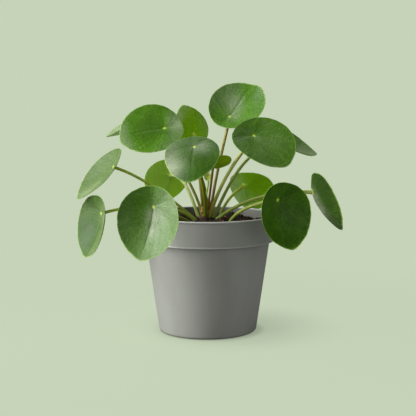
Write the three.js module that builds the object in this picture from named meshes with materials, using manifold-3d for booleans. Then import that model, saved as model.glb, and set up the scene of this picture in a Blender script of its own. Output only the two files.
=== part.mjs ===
// A pilea (a houseplant with round leaves, each held on its stalk like an umbrella) in a plastic nursery pot.
// Millimetres, +Z up. The origin is the centre of the pot's flat base, and -Y is the plant's front.
import * as THREE from 'three';
import { mergeVertices } from 'three/addons/utils/BufferGeometryUtils.js';
import Module from 'manifold-3d';

const wasm = await Module();
wasm.setup();

// Pot: a tapered body under a wider collar with a thin lip.
const POT_HEIGHT = 105.5;
const FOOT_RADIUS = 43.9;
const FOOT_ROUNDING = 1.6;
const BODY_TOP_RADIUS = 55.8;
const COLLAR_BOTTOM = 82.4;
const COLLAR_RADIUS = 60;
const LIP_HEIGHT = 2;
const LIP_PROUD = 0.5;
const EDGE_ROUNDING = 0.6;
const ARC_MIDDLE = 1 - Math.cos(Math.PI / 4);
const POT_WALL = 1.8;
const POT_FLOOR = 2.4;
const POT_SEGMENTS = 56;
const DRAIN_HOLES = 6;
const DRAIN_RADIUS = 3.5;
const DRAIN_CIRCLE = 27;
const DRAIN_SIDES = 12;

// Soil: fills the pot to a little under the lip, with low heaps and one hollow.
const SOIL_LEVEL = 98.2;
const SOIL_RINGS = 8;
const SOIL_SEGMENTS = 36;
const HEAPS = [
  { x: 19, y: 33, height: 4.6, spread: 11 },
  { x: -1, y: 2, height: 2.6, spread: 15 },
  { x: -30, y: 30, height: 1.6, spread: 22 },
  { x: 42, y: 32, height: -2.6, spread: 16 },
];
const CRUMBS = [
  { perX: 0.41, perY: 0.37, height: 0.4 },
  { perX: 0.35, perY: -0.46, height: 0.4 },
  { perX: 0.93, perY: -0.71, height: 0.3 },
];

// Stem: a short woody stub that carries the stalks, with its foot in the soil.
// Its profile is a list of [radius, height].
const STEM_X = -2;
const STEM_Y = 1;
const STEM_PROFILE = [[5.2, 84], [6, 92], [5.8, 100], [5, 104], [3.6, 107], [2.2, 109.6]];
const STEM_TOP = 110.4;
const STEM_SEGMENTS = 14;

// Clearance that keeps pieces which touch on the real plant apart as solids.
const FIT = 0.3;

// Leaf blades: nearly round, with the stalk joined under the blade at the umbo.
const BLADE_THICKNESS = 1;
const BLADE_RINGS = 3;
const BLADE_SEGMENTS = 26;
const UMBO_SHARE = 0.31;
const EGG_SHAPE = 0.08;
const TIP_REACH = 0.03;
const TIP_SPREAD = 0.3;
const FOLD_POWER = 1.5;
const WAVE_SHARE = 0.01;
const WAVE_LOBES = 3;
const GOLDEN_ANGLE = 2.4;
const STALK_SIDES = 10;
const STALK_STEPS = 16;

// Each leaf as measured on the plant. umbo is the point on the blade's upper face over the stalk.
// faces and tilt turn the upper face: 0 faces the front and 90 the right, and tilt lifts it to the sky.
// roll swings the tip sideways from straight downhill. cup, fold and droop shape the blade, in mm of rise
// at the rim, and shift moves its outline sideways on the umbo. root, bends and umbo carry the stalk.
const LEAVES = [
  {
    name: 'far_left_back',
    umbo: [-63, 36, 184], faces: -77, tilt: 59, roll: 16,
    length: 48, width: 45, cup: 4, fold: 3, droop: 0, shift: 0,
    girth: 2.5, root: [-1, 4.2, 103], bends: [[2, 9, 150], [-28, 30, 172]],
  },
  {
    name: 'upper_left',
    umbo: [-38, -14, 183], faces: 10, tilt: 42, roll: -66,
    length: 57, width: 52, cup: 1, fold: 0, droop: 3, shift: -4,
    girth: 2.6, root: [-4.8, -0.5, 103], bends: [[-12, -2, 136], [-36, -8, 160]],
  },
  {
    name: 'top_back',
    umbo: [-13, 18, 175], faces: 220, tilt: -2, roll: 168,
    length: 39, width: 36, cup: 2.5, fold: -2, droop: -2, shift: 1,
    girth: 2.5, root: [-4.2, 3.2, 104], bends: [[-6, 4, 130], [-10, 9, 155]],
  },
  {
    name: 'front_centre',
    umbo: [-11.5, -42, 168], faces: -9, tilt: 58, roll: 0,
    length: 50, width: 47, cup: 1.5, fold: -3, droop: 7, shift: -1,
    girth: 3.4, root: [-2.2, -3.9, 103], bends: [[-1, -9, 127], [-8, -28, 148]],
  },
  {
    name: 'top_right',
    umbo: [19.5, 12, 192.5], faces: 0, tilt: 43, roll: 132,
    length: 53, width: 49, cup: 6.5, fold: 3, droop: 1, shift: 0,
    girth: 2.7, root: [2.4, 1.8, 104], bends: [[6.5, 8, 140], [16, 12, 171]],
  },
  {
    name: 'upper_right',
    umbo: [40.2, -22, 176.7], faces: 8, tilt: 49, roll: 32,
    length: 59, width: 54, cup: 1.5, fold: 1, droop: 3, shift: 3,
    girth: 3.2, root: [1.4, -2.3, 102], bends: [[8.5, -8, 127], [18.5, -15, 148]],
  },
  {
    name: 'right_back',
    umbo: [68.3, 34, 169], faces: 65, tilt: 52, roll: 28,
    length: 48, width: 44, cup: 4, fold: 2, droop: 0, shift: 0,
    girth: 3, root: [3.2, 3.4, 97], bends: [[19, 10, 131], [33, 22, 164]],
  },
  {
    name: 'far_right',
    umbo: [95.2, 0, 125], faces: 100, tilt: 9, roll: -21,
    length: 53.5, width: 48, cup: 6.8, fold: 4, droop: -2, shift: 0.4,
    girth: 3.2, root: [2.8, -2.6, 96], bends: [[27, -2, 119], [62, -2, 127]],
  },
  {
    name: 'front_right',
    umbo: [59.4, -52, 123.4], faces: 27, tilt: -11, roll: 8,
    length: 52.5, width: 47.5, cup: 8.2, fold: 4, droop: -3, shift: 0.6,
    girth: 3.2, root: [18, -4, 93], bends: [[21, -16, 112], [48, -35, 120]],
  },
  {
    name: 'back_right',
    umbo: [35, 38, 128], faces: 156, tilt: 34, roll: 8,
    length: 47, width: 43, cup: 3.5, fold: 3, droop: 2, shift: -4,
    girth: 2.8, root: [8, 7, 93], bends: [[14, 11, 116], [26, 25, 124]],
  },
  {
    name: 'back_left',
    umbo: [-35, 30, 139], faces: 197, tilt: 22, roll: 5,
    length: 46, width: 43, cup: 4, fold: 2, droop: 0, shift: 0,
    girth: 3.1, root: [-6.2, 4.8, 97], bends: [[-15, 12, 116], [-18, 16, 138]],
  },
  {
    name: 'front_left',
    umbo: [-45.5, -62, 118.5], faces: -19, tilt: -1, roll: -7,
    length: 59, width: 55, cup: 7.5, fold: 5, droop: -2, shift: 1,
    girth: 3.3, root: [-9, -10, 93], bends: [[-19, -24, 105], [-37, -49, 112]],
  },
  {
    name: 'low_left',
    umbo: [-94, -22, 108.4], faces: -57, tilt: -3, roll: -10,
    length: 53, width: 49, cup: 6.8, fold: 3, droop: -1, shift: 0.8,
    girth: 2.6, root: [-6.8, -4.6, 96], bends: [[-33, -10, 122], [-66, -16, 115]],
  },
  {
    name: 'high_left',
    umbo: [-85, 0, 148], faces: -68, tilt: 31, roll: 3,
    length: 57, width: 49, cup: 4.5, fold: 2, droop: -2, shift: -4,
    girth: 2.6, root: [-7.5, 0, 97], bends: [[-34, 0, 120], [-58, 0, 139]],
  },
  {
    name: 'inner',
    umbo: [5, -18, 152], faces: 173, tilt: 57, roll: -7,
    length: 31, width: 29, cup: 5, fold: 2, droop: 1, shift: 0,
    girth: 2.2, root: [-0.6, 0.9, 106], bends: [[2, -4, 123], [3.5, -13, 139]],
  },
  {
    name: 'bud',
    umbo: [0.3, -1, 138], faces: -20, tilt: -10, roll: 175,
    length: 10, width: 6.5, cup: 1, fold: 1, droop: 0, shift: 0,
    girth: 1.7, root: [-2.6, -0.6, 106], bends: [[-2.6, -0.8, 119], [0.8, 1.5, 130]],
  },
];
const BROWN_STALKS = ['far_left_back', 'top_back', 'top_right', 'inner', 'upper_left', 'upper_right'];
const YOUNG_BLADES = ['top_back', 'inner', 'bud', 'back_left', 'back_right'];

function finish(colour, roughness) {
  return new THREE.MeshStandardMaterial({ color: colour, roughness, metalness: 0 });
}
const POT_PLASTIC = finish(0x868682, 0.55);
const POTTING_SOIL = finish(0x2b221d, 1);
const WOODY_STEM = finish(0x6f5743, 0.8);
const MATURE_BLADE = finish(0x3d6b23, 0.42);
const YOUNG_BLADE = finish(0x5c8a1d, 0.5);
const GREEN_STALK = finish(0x7c9440, 0.5);
const BROWN_STALK = finish(0x76602a, 0.5);

const plant = new THREE.Group();

function addPiece(name, geometry, material) {
  const mesh = new THREE.Mesh(geometry, material);
  mesh.name = name;
  plant.add(mesh);
}

// Drops normals and texture coordinates, so that vertices in the same place merge and the mesh is closed.
function closedMesh(geometry) {
  const bare = geometry.clone();
  bare.deleteAttribute('normal');
  bare.deleteAttribute('uv');
  return mergeVertices(bare);
}

function toSolid(geometry) {
  const closed = closedMesh(geometry);
  return new wasm.Manifold(new wasm.Mesh({
    numProp: 3,
    vertProperties: new Float32Array(closed.attributes.position.array),
    triVerts: new Uint32Array(closed.index.array),
  }));
}

function fromSolid(solid) {
  const mesh = solid.getMesh();
  const geometry = new THREE.BufferGeometry();
  geometry.setAttribute('position', new THREE.BufferAttribute(mesh.vertProperties, 3));
  geometry.setIndex(new THREE.BufferAttribute(mesh.triVerts, 1));
  return geometry;
}

// A cut can leave loose crumbs, so only the largest body is kept.
function largestBody(solid) {
  const bodies = solid.decompose();
  return bodies.reduce((best, body) => (body.volume() > best.volume() ? body : best));
}

// Turns a profile of [radius, height] points about the Z axis.
function latheSolid(points, segments) {
  const profile = points.map(([radius, height]) => new THREE.Vector2(radius, height));
  const geometry = new THREE.LatheGeometry(profile, segments);
  geometry.rotateX(Math.PI / 2);
  return geometry;
}

function bodyRadiusAt(height) {
  return THREE.MathUtils.mapLinear(height, 0, COLLAR_BOTTOM, FOOT_RADIUS, BODY_TOP_RADIUS);
}

// The pot's section, up the outside and down the inside, closed on itself at the axis.
function potSolid() {
  const lipRadius = COLLAR_RADIUS + LIP_PROUD;
  const lipBottom = POT_HEIGHT - LIP_HEIGHT;
  const innerCollar = COLLAR_RADIUS - POT_WALL;
  const innerStep = COLLAR_BOTTOM + POT_WALL;
  const outside = [
    [0, 0],
    [FOOT_RADIUS - FOOT_ROUNDING, 0],
    [FOOT_RADIUS - FOOT_ROUNDING * ARC_MIDDLE, FOOT_ROUNDING * ARC_MIDDLE],
    [bodyRadiusAt(FOOT_ROUNDING), FOOT_ROUNDING],
    [BODY_TOP_RADIUS, COLLAR_BOTTOM],
    [COLLAR_RADIUS - EDGE_ROUNDING, COLLAR_BOTTOM],
    [COLLAR_RADIUS, COLLAR_BOTTOM + EDGE_ROUNDING],
    [COLLAR_RADIUS, lipBottom],
    [lipRadius, lipBottom + EDGE_ROUNDING],
    [lipRadius, POT_HEIGHT - EDGE_ROUNDING],
    [lipRadius - EDGE_ROUNDING, POT_HEIGHT],
  ];
  const inside = [
    [innerCollar, POT_HEIGHT],
    [innerCollar, innerStep],
    [bodyRadiusAt(innerStep) - POT_WALL, innerStep - POT_WALL],
    [bodyRadiusAt(POT_FLOOR) - POT_WALL, POT_FLOOR],
    [0, POT_FLOOR],
  ];
  let pot = toSolid(latheSolid([...outside, ...inside], POT_SEGMENTS));
  for (let i = 0; i < DRAIN_HOLES; i += 1) {
    const angle = (i / DRAIN_HOLES) * 2 * Math.PI;
    const drill = new THREE.CylinderGeometry(DRAIN_RADIUS, DRAIN_RADIUS, 3 * POT_FLOOR, DRAIN_SIDES);
    drill.rotateX(Math.PI / 2);
    drill.translate(DRAIN_CIRCLE * Math.cos(angle), DRAIN_CIRCLE * Math.sin(angle), POT_FLOOR / 2);
    pot = pot.subtract(toSolid(drill));
  }
  return pot;
}

// Height of the soil: its level, the heaps and the hollow as smooth bells, and crumbs as crossing waves.
function soilHeight(x, y) {
  let height = SOIL_LEVEL;
  for (const heap of HEAPS) {
    const distance = Math.hypot(x - heap.x, y - heap.y) / heap.spread;
    height += heap.height * Math.exp(-distance * distance);
  }
  for (const crumb of CRUMBS) {
    height += crumb.height * Math.sin(crumb.perX * x + crumb.perY * y);
  }
  return height;
}

// The soil's closed body: a lathe of the pot's inside, with its top rings lifted to the soil's height.
function soilSolid() {
  const wall = COLLAR_RADIUS - POT_WALL - FIT;
  const step = COLLAR_BOTTOM + POT_WALL + FIT;
  const profile = [
    [0, POT_FLOOR + FIT],
    [bodyRadiusAt(POT_FLOOR) - POT_WALL - FIT, POT_FLOOR + FIT],
    [bodyRadiusAt(step) - POT_WALL - 2 * FIT, step - POT_WALL],
    [wall, step + POT_WALL],
  ];
  for (let ring = SOIL_RINGS; ring >= 0; ring -= 1) {
    profile.push([(wall * ring) / SOIL_RINGS, SOIL_LEVEL]);
  }
  const soil = closedMesh(latheSolid(profile, SOIL_SEGMENTS));
  const points = soil.attributes.position;
  for (let i = 0; i < points.count; i += 1) {
    if (Math.abs(points.getZ(i) - SOIL_LEVEL) < FIT) {
      points.setZ(i, soilHeight(points.getX(i), points.getY(i)));
    }
  }
  return toSolid(soil);
}

function stemSolid(grow) {
  const wall = STEM_PROFILE.map(([radius, height]) => [radius + grow, height]);
  wall[0][1] -= grow;
  const geometry = latheSolid([[0, wall[0][1]], ...wall, [0, STEM_TOP + grow]], STEM_SEGMENTS);
  geometry.translate(STEM_X, STEM_Y, 0);
  return toSolid(geometry);
}

// A leaf's own axes: out of its upper face, towards its tip, and across.
function leafAxes(leaf) {
  const faces = THREE.MathUtils.degToRad(leaf.faces);
  const tilt = THREE.MathUtils.degToRad(leaf.tilt);
  const roll = THREE.MathUtils.degToRad(leaf.roll);
  const out = new THREE.Vector3(
    Math.sin(faces) * Math.cos(tilt),
    -Math.cos(faces) * Math.cos(tilt),
    Math.sin(tilt),
  );
  const downhill = new THREE.Vector3(
    Math.sin(faces) * Math.sin(tilt),
    -Math.cos(faces) * Math.sin(tilt),
    -Math.cos(tilt),
  );
  const tip = downhill.clone().applyAxisAngle(out, roll);
  const across = new THREE.Vector3().crossVectors(out, tip);
  return { out, tip, across };
}

// A point of a blade's upper face, at a share of the way from the umbo to the rim, at an angle from the tip.
// The outline is an egg drawn out at the tip. The face is a shallow bowl, folded up along its midrib,
// drooping towards its tip, with a low wave round its rim.
function bladePoint(leaf, axes, share, angle, phase) {
  const fromTip = Math.min(angle, 2 * Math.PI - angle) / TIP_SPREAD;
  const along = share * leaf.length
    * (0.5 - UMBO_SHARE + 0.5 * Math.cos(angle) + TIP_REACH * Math.exp(-fromTip * fromTip));
  const halfWidth = (leaf.width / 2) * Math.sin(angle) * (1 - EGG_SHAPE * Math.cos(angle));
  const across = share * (halfWidth + leaf.shift);
  const u = along / (leaf.length / 2);
  const v = across / (leaf.width / 2);
  const rise = leaf.cup * (u * u + v * v)
    + leaf.fold * Math.abs(v) ** FOLD_POWER
    - leaf.droop * Math.max(u, 0) ** 2
    + WAVE_SHARE * leaf.length * share * share * Math.sin(WAVE_LOBES * angle + phase);
  return new THREE.Vector3(...leaf.umbo)
    .addScaledVector(axes.tip, along)
    .addScaledVector(axes.across, across)
    .addScaledVector(axes.out, rise);
}

// A blade as a closed sheet: rings of points on the upper face, the same points one thickness lower,
// and both faces split into triangles alike.
function bladeGeometry(leaf, phase) {
  const axes = leafAxes(leaf);
  const upper = [bladePoint(leaf, axes, 0, 0, phase)];
  for (let ring = 1; ring <= BLADE_RINGS; ring += 1) {
    for (let i = 0; i < BLADE_SEGMENTS; i += 1) {
      upper.push(bladePoint(leaf, axes, ring / BLADE_RINGS, (i / BLADE_SEGMENTS) * 2 * Math.PI, phase));
    }
  }
  const lower = upper.map((point) => point.clone().addScaledVector(axes.out, -BLADE_THICKNESS));
  const faces = [];
  const at = (ring, i) => 1 + (ring - 1) * BLADE_SEGMENTS + (i % BLADE_SEGMENTS);
  for (let i = 0; i < BLADE_SEGMENTS; i += 1) {
    faces.push([0, at(1, i), at(1, i + 1)]);
    for (let ring = 1; ring < BLADE_RINGS; ring += 1) {
      faces.push([at(ring, i), at(ring + 1, i), at(ring + 1, i + 1)]);
      faces.push([at(ring, i), at(ring + 1, i + 1), at(ring, i + 1)]);
    }
  }
  const below = upper.length;
  const triangles = [...faces, ...faces.map(([a, b, c]) => [a + below, c + below, b + below])];
  for (let i = 0; i < BLADE_SEGMENTS; i += 1) {
    const a = at(BLADE_RINGS, i);
    const b = at(BLADE_RINGS, i + 1);
    triangles.push([a, a + below, b + below]);
    triangles.push([a, b + below, b]);
  }
  const geometry = new THREE.BufferGeometry().setFromPoints([...upper, ...lower]);
  geometry.setIndex(triangles.flat());
  return geometry;
}

// The line of a leaf's stalk, from its root to a seat just under the umbo, clear of the blade's lower face.
function stalkLine(leaf) {
  const { out } = leafAxes(leaf);
  const umbo = new THREE.Vector3(...leaf.umbo);
  const bends = leaf.bends.map((point) => new THREE.Vector3(...point));
  const lean = umbo.clone().sub(bends[1]).normalize().angleTo(out);
  const clear = BLADE_THICKNESS + FIT + (leaf.girth / 2) * Math.abs(Math.sin(lean));
  const seat = umbo.addScaledVector(out, -clear);
  return new THREE.CubicBezierCurve3(new THREE.Vector3(...leaf.root), ...bends, seat);
}

// A round stalk along its line. grow makes the wider and deeper one that cuts its hole.
function stalkGeometry(leaf, grow = 0) {
  const section = new THREE.Shape();
  section.absarc(0, 0, leaf.girth / 2 + grow, 0, 2 * Math.PI, false);
  const line = stalkLine(leaf);
  if (grow > 0) {
    line.v0.addScaledVector(line.getTangent(0), -grow);
  }
  return new THREE.ExtrudeGeometry(section, {
    steps: STALK_STEPS,
    curveSegments: STALK_SIDES / 2,
    bevelEnabled: false,
    extrudePath: line,
  });
}

// Each stalk stands in a plain hole in the stem or the soil, and the stem in one in the soil.
function withStalkHoles(solid) {
  const holes = LEAVES.map((leaf) => toSolid(stalkGeometry(leaf, FIT)));
  return largestBody(holes.reduce((rest, hole) => rest.subtract(hole), solid));
}

const stem = withStalkHoles(stemSolid(0));
const soil = withStalkHoles(soilSolid().subtract(stemSolid(FIT)));

addPiece('pot', fromSolid(potSolid()), POT_PLASTIC);
addPiece('soil', fromSolid(soil), POTTING_SOIL);
addPiece('stem', fromSolid(stem), WOODY_STEM);
LEAVES.forEach((leaf, index) => {
  const blade = YOUNG_BLADES.includes(leaf.name) ? YOUNG_BLADE : MATURE_BLADE;
  const stalk = BROWN_STALKS.includes(leaf.name) ? BROWN_STALK : GREEN_STALK;
  addPiece(`leaf_${leaf.name}`, bladeGeometry(leaf, index * GOLDEN_ANGLE), blade);
  addPiece(`stalk_${leaf.name}`, closedMesh(stalkGeometry(leaf)), stalk);
});

export default plant;
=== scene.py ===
"""A potted pilea: sixteen round leaves on long stalks over potting mix in a grey nursery pot.

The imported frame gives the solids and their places. This script replaces each of them with a finer surface
of the same form, dresses it with procedural materials, and adds veins, papery scales, crumbs, bark chips
and fibres. Lengths are millimetres while a shape is worked out, and metres once it's a mesh.
"""

import logging
import math
from dataclasses import dataclass, field
from enum import Enum

import bpy
import numpy as np
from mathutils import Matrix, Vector


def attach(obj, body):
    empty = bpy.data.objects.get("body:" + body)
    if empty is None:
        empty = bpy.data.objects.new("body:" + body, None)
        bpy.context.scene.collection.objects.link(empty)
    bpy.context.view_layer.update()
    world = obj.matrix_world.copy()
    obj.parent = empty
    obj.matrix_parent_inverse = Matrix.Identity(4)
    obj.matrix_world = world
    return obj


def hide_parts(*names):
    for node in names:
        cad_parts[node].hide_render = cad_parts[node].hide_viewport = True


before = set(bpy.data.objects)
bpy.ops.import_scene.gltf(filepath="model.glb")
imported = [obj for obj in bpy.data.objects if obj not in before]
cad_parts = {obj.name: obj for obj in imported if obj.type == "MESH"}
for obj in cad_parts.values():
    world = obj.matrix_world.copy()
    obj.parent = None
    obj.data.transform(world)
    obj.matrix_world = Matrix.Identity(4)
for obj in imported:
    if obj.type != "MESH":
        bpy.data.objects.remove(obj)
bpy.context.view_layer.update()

LOG = logging.getLogger("pilea")
MM = 0.001
FULL_TURN = 2 * math.pi
BODY = "root"

Point = tuple[float, float, float]
Rgb = tuple[int, int, int]
Span = tuple[float, float]
Socket = bpy.types.NodeSocket
Material = bpy.types.Material
Object = bpy.types.Object
Array = np.ndarray


def linear(colour: Rgb) -> tuple[float, ...]:
    """Turns a colour as a screen shows it into the linear light that shaders work in.

    A share s of full is s / 12.92 up to 0.04045, and ((s + 0.055) / 1.055)^2.4 above that.

    Args:
        colour: red, green and blue, from 0 to 255.

    Returns:
        Linear red, green and blue from 0 to 1, and 1 for opaque.
    """
    shares = np.array(colour) / 255
    light = np.where(shares <= 0.04045, shares / 12.92, ((shares + 0.055) / 1.055) ** 2.4)
    return (*light.tolist(), 1.0)


class Shade:
    """A number that varies over a surface, so that shader maths is written as plain expressions."""

    def __init__(self, recipe: "Recipe", socket: Socket) -> None:
        """Wraps one output socket of the recipe's node tree."""
        self.recipe = recipe
        self.socket = socket

    def __add__(self, other: "Shade | float") -> "Shade":
        """self + other."""
        return self.recipe.math("ADD", self, other)

    __radd__ = __add__

    def __sub__(self, other: "Shade | float") -> "Shade":
        """self - other."""
        return self.recipe.math("SUBTRACT", self, other)

    def __rsub__(self, other: float) -> "Shade":
        """other - self."""
        return self.recipe.math("SUBTRACT", other, self)

    def __mul__(self, other: "Shade | float") -> "Shade":
        """self * other."""
        return self.recipe.math("MULTIPLY", self, other)

    def __truediv__(self, other: "Shade | float") -> "Shade":
        """self / other."""
        return self.recipe.math("DIVIDE", self, other)


class Recipe:
    """The node tree of one material or world, and the few calls that every finish is written with."""

    def __init__(self, holder: Material | bpy.types.World) -> None:
        """Starts with an emptied tree.

        Args:
            holder: the new material or world that the tree belongs to.
        """
        self.holder = holder
        holder.use_nodes = True
        self.tree = holder.node_tree
        self.tree.nodes.clear()

    def node(self, kind: str, inputs: dict | None = None, **settings: object) -> bpy.types.Node:
        """Adds a node.

        Args:
            kind: the node's type after the word ShaderNode, such as TexNoise.
            inputs: values, shades or sockets for its inputs, by name or number.
            settings: the node's own properties, set before its sockets.

        Returns:
            The new node.
        """
        made = self.tree.nodes.new(f"ShaderNode{kind}")
        for name, value in settings.items():
            setattr(made, name, value)
        for key, value in (inputs or {}).items():
            source = value.socket if isinstance(value, Shade) else value
            if isinstance(source, Socket):
                self.tree.links.new(source, made.inputs[key])
            else:
                made.inputs[key].default_value = source
        return made

    def shade(self, output: str | int, kind: str, inputs: dict | None = None, **settings: object) -> Shade:
        """One output of a new node, as a shade."""
        return Shade(self, self.node(kind, inputs, **settings).outputs[output])

    def math(self, operation: str, first: Shade | float, second: Shade | float = 0.0) -> Shade:
        """A Math node on two values."""
        return self.shade(0, "Math", {0: first, 1: second}, operation=operation)

    def step(self, value: Shade, low: float, high: float) -> Shade:
        """Rises smoothly from 0 where the value is low to 1 where it is high."""
        span = {"Value": value, "From Min": low, "From Max": high}
        return self.shade("Result", "MapRange", span, interpolation_type="SMOOTHSTEP")

    def noise(self, vector: Socket, scale: float, detail: float = 2.0) -> Shade:
        """Soft noise of about 0 to 1, with scale blotches to each unit of the vector."""
        return self.shade("Fac", "TexNoise", {"Vector": vector, "Scale": scale, "Detail": detail})

    def mix(self, share: Shade | float, first: Rgb | Socket, second: Rgb | Socket) -> Socket:
        """A colour that goes from first to second as share goes from 0 to 1."""
        ends = [linear(end) if isinstance(end, tuple) else end for end in (first, second)]
        return self.node("Mix", {0: share, 6: ends[0], 7: ends[1]}, data_type="RGBA").outputs[2]

    def surface(self, kind: str, inputs: dict) -> Socket:
        """What a new shader of a kind gives, such as Emission."""
        return self.node(kind, inputs).outputs[0]

    def blend(self, share: Shade | Socket | float, first: Socket, second: Socket) -> Socket:
        """A shader that goes from first to second as share goes from 0 to 1."""
        return self.surface("MixShader", {0: share, 1: first, 2: second})

    def place(self) -> Socket:
        """The object's own coordinates, in metres."""
        return self.node("TexCoord").outputs["Object"]

    def stretched(self, vector: Socket, scale: Point) -> Socket:
        """The vector with each axis scaled on its own."""
        return self.node("Mapping", {"Vector": vector, "Scale": scale}).outputs["Vector"]

    def attribute(self, name: str) -> Socket:
        """One of the piece's own attributes, as a vector."""
        return self.node("Attribute", attribute_name=name).outputs["Vector"]

    def parts(self, vector: Socket) -> list[Shade]:
        """The three numbers of a vector."""
        return [Shade(self, part) for part in self.node("SeparateXYZ", {"Vector": vector}).outputs]

    def relief(self, height: Shade, depth: float) -> Socket:
        """A normal bent by a height of 0 to 1 that stands for depth metres."""
        return self.node("Bump", {"Height": height, "Distance": depth, "Strength": 1.0}).outputs["Normal"]

    def close(self, shader: Socket, output: str = "OutputMaterial") -> Material | bpy.types.World:
        """Ends the recipe with the shader that shows, and returns what it was written for."""
        self.node(output, {"Surface": shader})
        return self.holder


@dataclass(frozen=True)
class BladeFinish:
    """Waxy leaf skin: a semi-gloss upper face with sunk veins, and a paler, duller underside with raised
    ones.

    glow is the colour of light through the blade and through its share, relief the depth of the skin's
    bumps in metres, mottle the strength of the underside's flecks, and each scale a number of marks to the
    millimetre. Each band says where a mark starts and is full: on the way to the margin, in millimetres
    from the umbo, or in how far the face turns from the eye.
    """

    dark: Rgb
    light: Rgb
    under_dark: Rgb
    under_light: Rgb
    glow: Rgb
    vein: Rgb
    through: float = 0.22
    slot: str = "mature_leaf"
    gloss_roughness: float = 0.44
    under_roughness: float = 0.4
    grazing_roughness: float = 0.56
    rim_roughness: float = 0.35
    relief: float = 0.00016
    mottle: float = 1.5
    # Colours of the painted sheen, a pale highlight in the skin, and of the painted shade, a deep green.
    painted_light: Rgb = (170, 180, 150)
    deep: Rgb = (32, 58, 4)
    dot: Rgb = (194, 216, 88)
    # Yellow-green of the blade's thin rim: partly its own paler edge, partly a painted rim light.
    margin: Rgb = (150, 184, 96)
    net_scale: float = 0.26
    blotch_scale: float = 0.11
    pebble_scale: float = 0.5
    grain_scale: float = 1.3
    streak_scale: float = 6.0
    margin_band: Span = (0.972, 0.993)
    dot_band: Span = (0.5, 2.3)
    grazing_band: Span = (0.68, 0.85)

    def material(self, name: str, crease: float) -> Material:
        """Builds the leaf skin.

        It reads three attributes of the blade: plan, whose X and Y are millimetres across and along the
        blade from the umbo and whose Z tells leaves apart; skin, whose X is the share of the way to the
        margin, whose Y is 1 on the underside, and whose Z is how strong the painted sheen is, a pale
        highlight mixed into the colour, or below 0 how strong the painted shade is; and veins, whose X is 1
        on the side veins and whose Y is 1 on the midrib.

        Args:
            name: the material's name.
            crease: how deep the midrib is sunk, from 0 to 1, and how much painted shade darkens the midrib.

        Returns:
            The material.
        """
        recipe = Recipe(bpy.data.materials.new(name))
        plan = recipe.attribute("plan")
        across, along, _ = recipe.parts(plan)
        share, under, painted_light_amount = recipe.parts(recipe.attribute("skin"))
        side_veins, midrib, _ = recipe.parts(recipe.attribute("veins"))
        cells = recipe.shade("Distance", "TexVoronoi", {"Vector": plan, "Scale": self.net_scale},
                             feature="DISTANCE_TO_EDGE")
        net = 1 - recipe.step(cells, 0.0, 0.16)
        blotches = recipe.noise(plan, self.blotch_scale, 3.0)
        grain = recipe.noise(plan, self.grain_scale, 3.0)
        pebbles = recipe.noise(plan, self.pebble_scale)
        reach = recipe.math("SQRT", across * across + along * along) + 0.01
        heading = recipe.node("CombineXYZ", {"X": across / reach, "Y": along / reach, "Z": share * 0.35})
        streaks = recipe.noise(heading.outputs["Vector"], self.streak_scale)
        from_umbo = recipe.math("SQRT", across * across * 1.6 + along * along * 0.9)
        dot = 1 - recipe.step(from_umbo - under * 1.6, *self.dot_band)
        rim = recipe.step(share, *self.margin_band)

        patches = recipe.step(blotches * 0.4 + pebbles * 0.4 + grain * 0.2, 0.36, 0.64)
        flecks = (streaks - 0.5) * share * 0.8 + (pebbles - 0.5) * 0.9 + (grain - 0.5) * 0.3
        upper = recipe.mix(patches, self.dark, self.light)
        upper = recipe.mix(side_veins * 0.06 + net * 0.03 + flecks, upper, self.vein)
        # Painted shade: the midrib line is darkened by its crease depth, as shade in the sunk crease.
        upper = recipe.mix(midrib * crease * 0.5, upper, self.dark)
        lower = recipe.mix(patches, self.under_dark, self.under_light)
        lines = side_veins * 0.3 + midrib * 0.4 + net * 0.08
        lower = recipe.mix(lines + flecks * self.mottle, lower, self.vein)
        skin = recipe.mix(recipe.step(under, 0.4, 0.6), upper, lower)
        # Painted shade: where the patches go below 0, the skin is mixed towards a deep green.
        skin = recipe.mix(painted_light_amount * -1.0, skin, self.deep)
        # Painted sheen: a pale highlight mixed into the skin, grained by the streaks and pebbles.
        skin = recipe.mix(painted_light_amount * (0.85 + (streaks - 0.5) * 0.7 + (pebbles - 0.5) * 0.9), skin, self.painted_light)
        # The rim band: a paler thin edge, partly real colour and partly painted rim light.
        skin = recipe.mix(rim * 0.6, skin, self.margin)
        skin = recipe.mix(dot * 0.85, skin, self.dot)

        height = grain * 0.3 + pebbles * 1.3 + blotches * 0.8 + streaks * share * 3.6
        sunk = side_veins * 0.22 + midrib * crease * 1.8 + net * 0.10
        normal = recipe.relief(height - sunk * (1 - under * 2), self.relief)
        facing = recipe.shade("Facing", "LayerWeight", {"Blend": 0.5})
        roughness = self.gloss_roughness + under * self.under_roughness + (grain - 0.5) * 0.16
        roughness = roughness + recipe.step(facing, *self.grazing_band) * self.grazing_roughness
        gloss = recipe.surface("BsdfPrincipled", {
            "Base Color": skin, "Roughness": roughness + rim * self.rim_roughness, "Normal": normal,
            "Specular IOR Level": 0.34})
        lit_through = recipe.mix(side_veins * 0.14 + midrib * 0.2, self.glow, self.dark)
        through = recipe.surface("BsdfTranslucent", {"Color": lit_through, "Normal": normal})
        return recipe.close(recipe.blend(self.through, gloss, through))


DARK_UNDERSIDE = (84, 118, 50), (104, 138, 68)
PALE_UNDERSIDE = (92, 130, 66), (120, 156, 92)
YOUNG_FACE = (84, 126, 16), (100, 144, 28)


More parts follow.
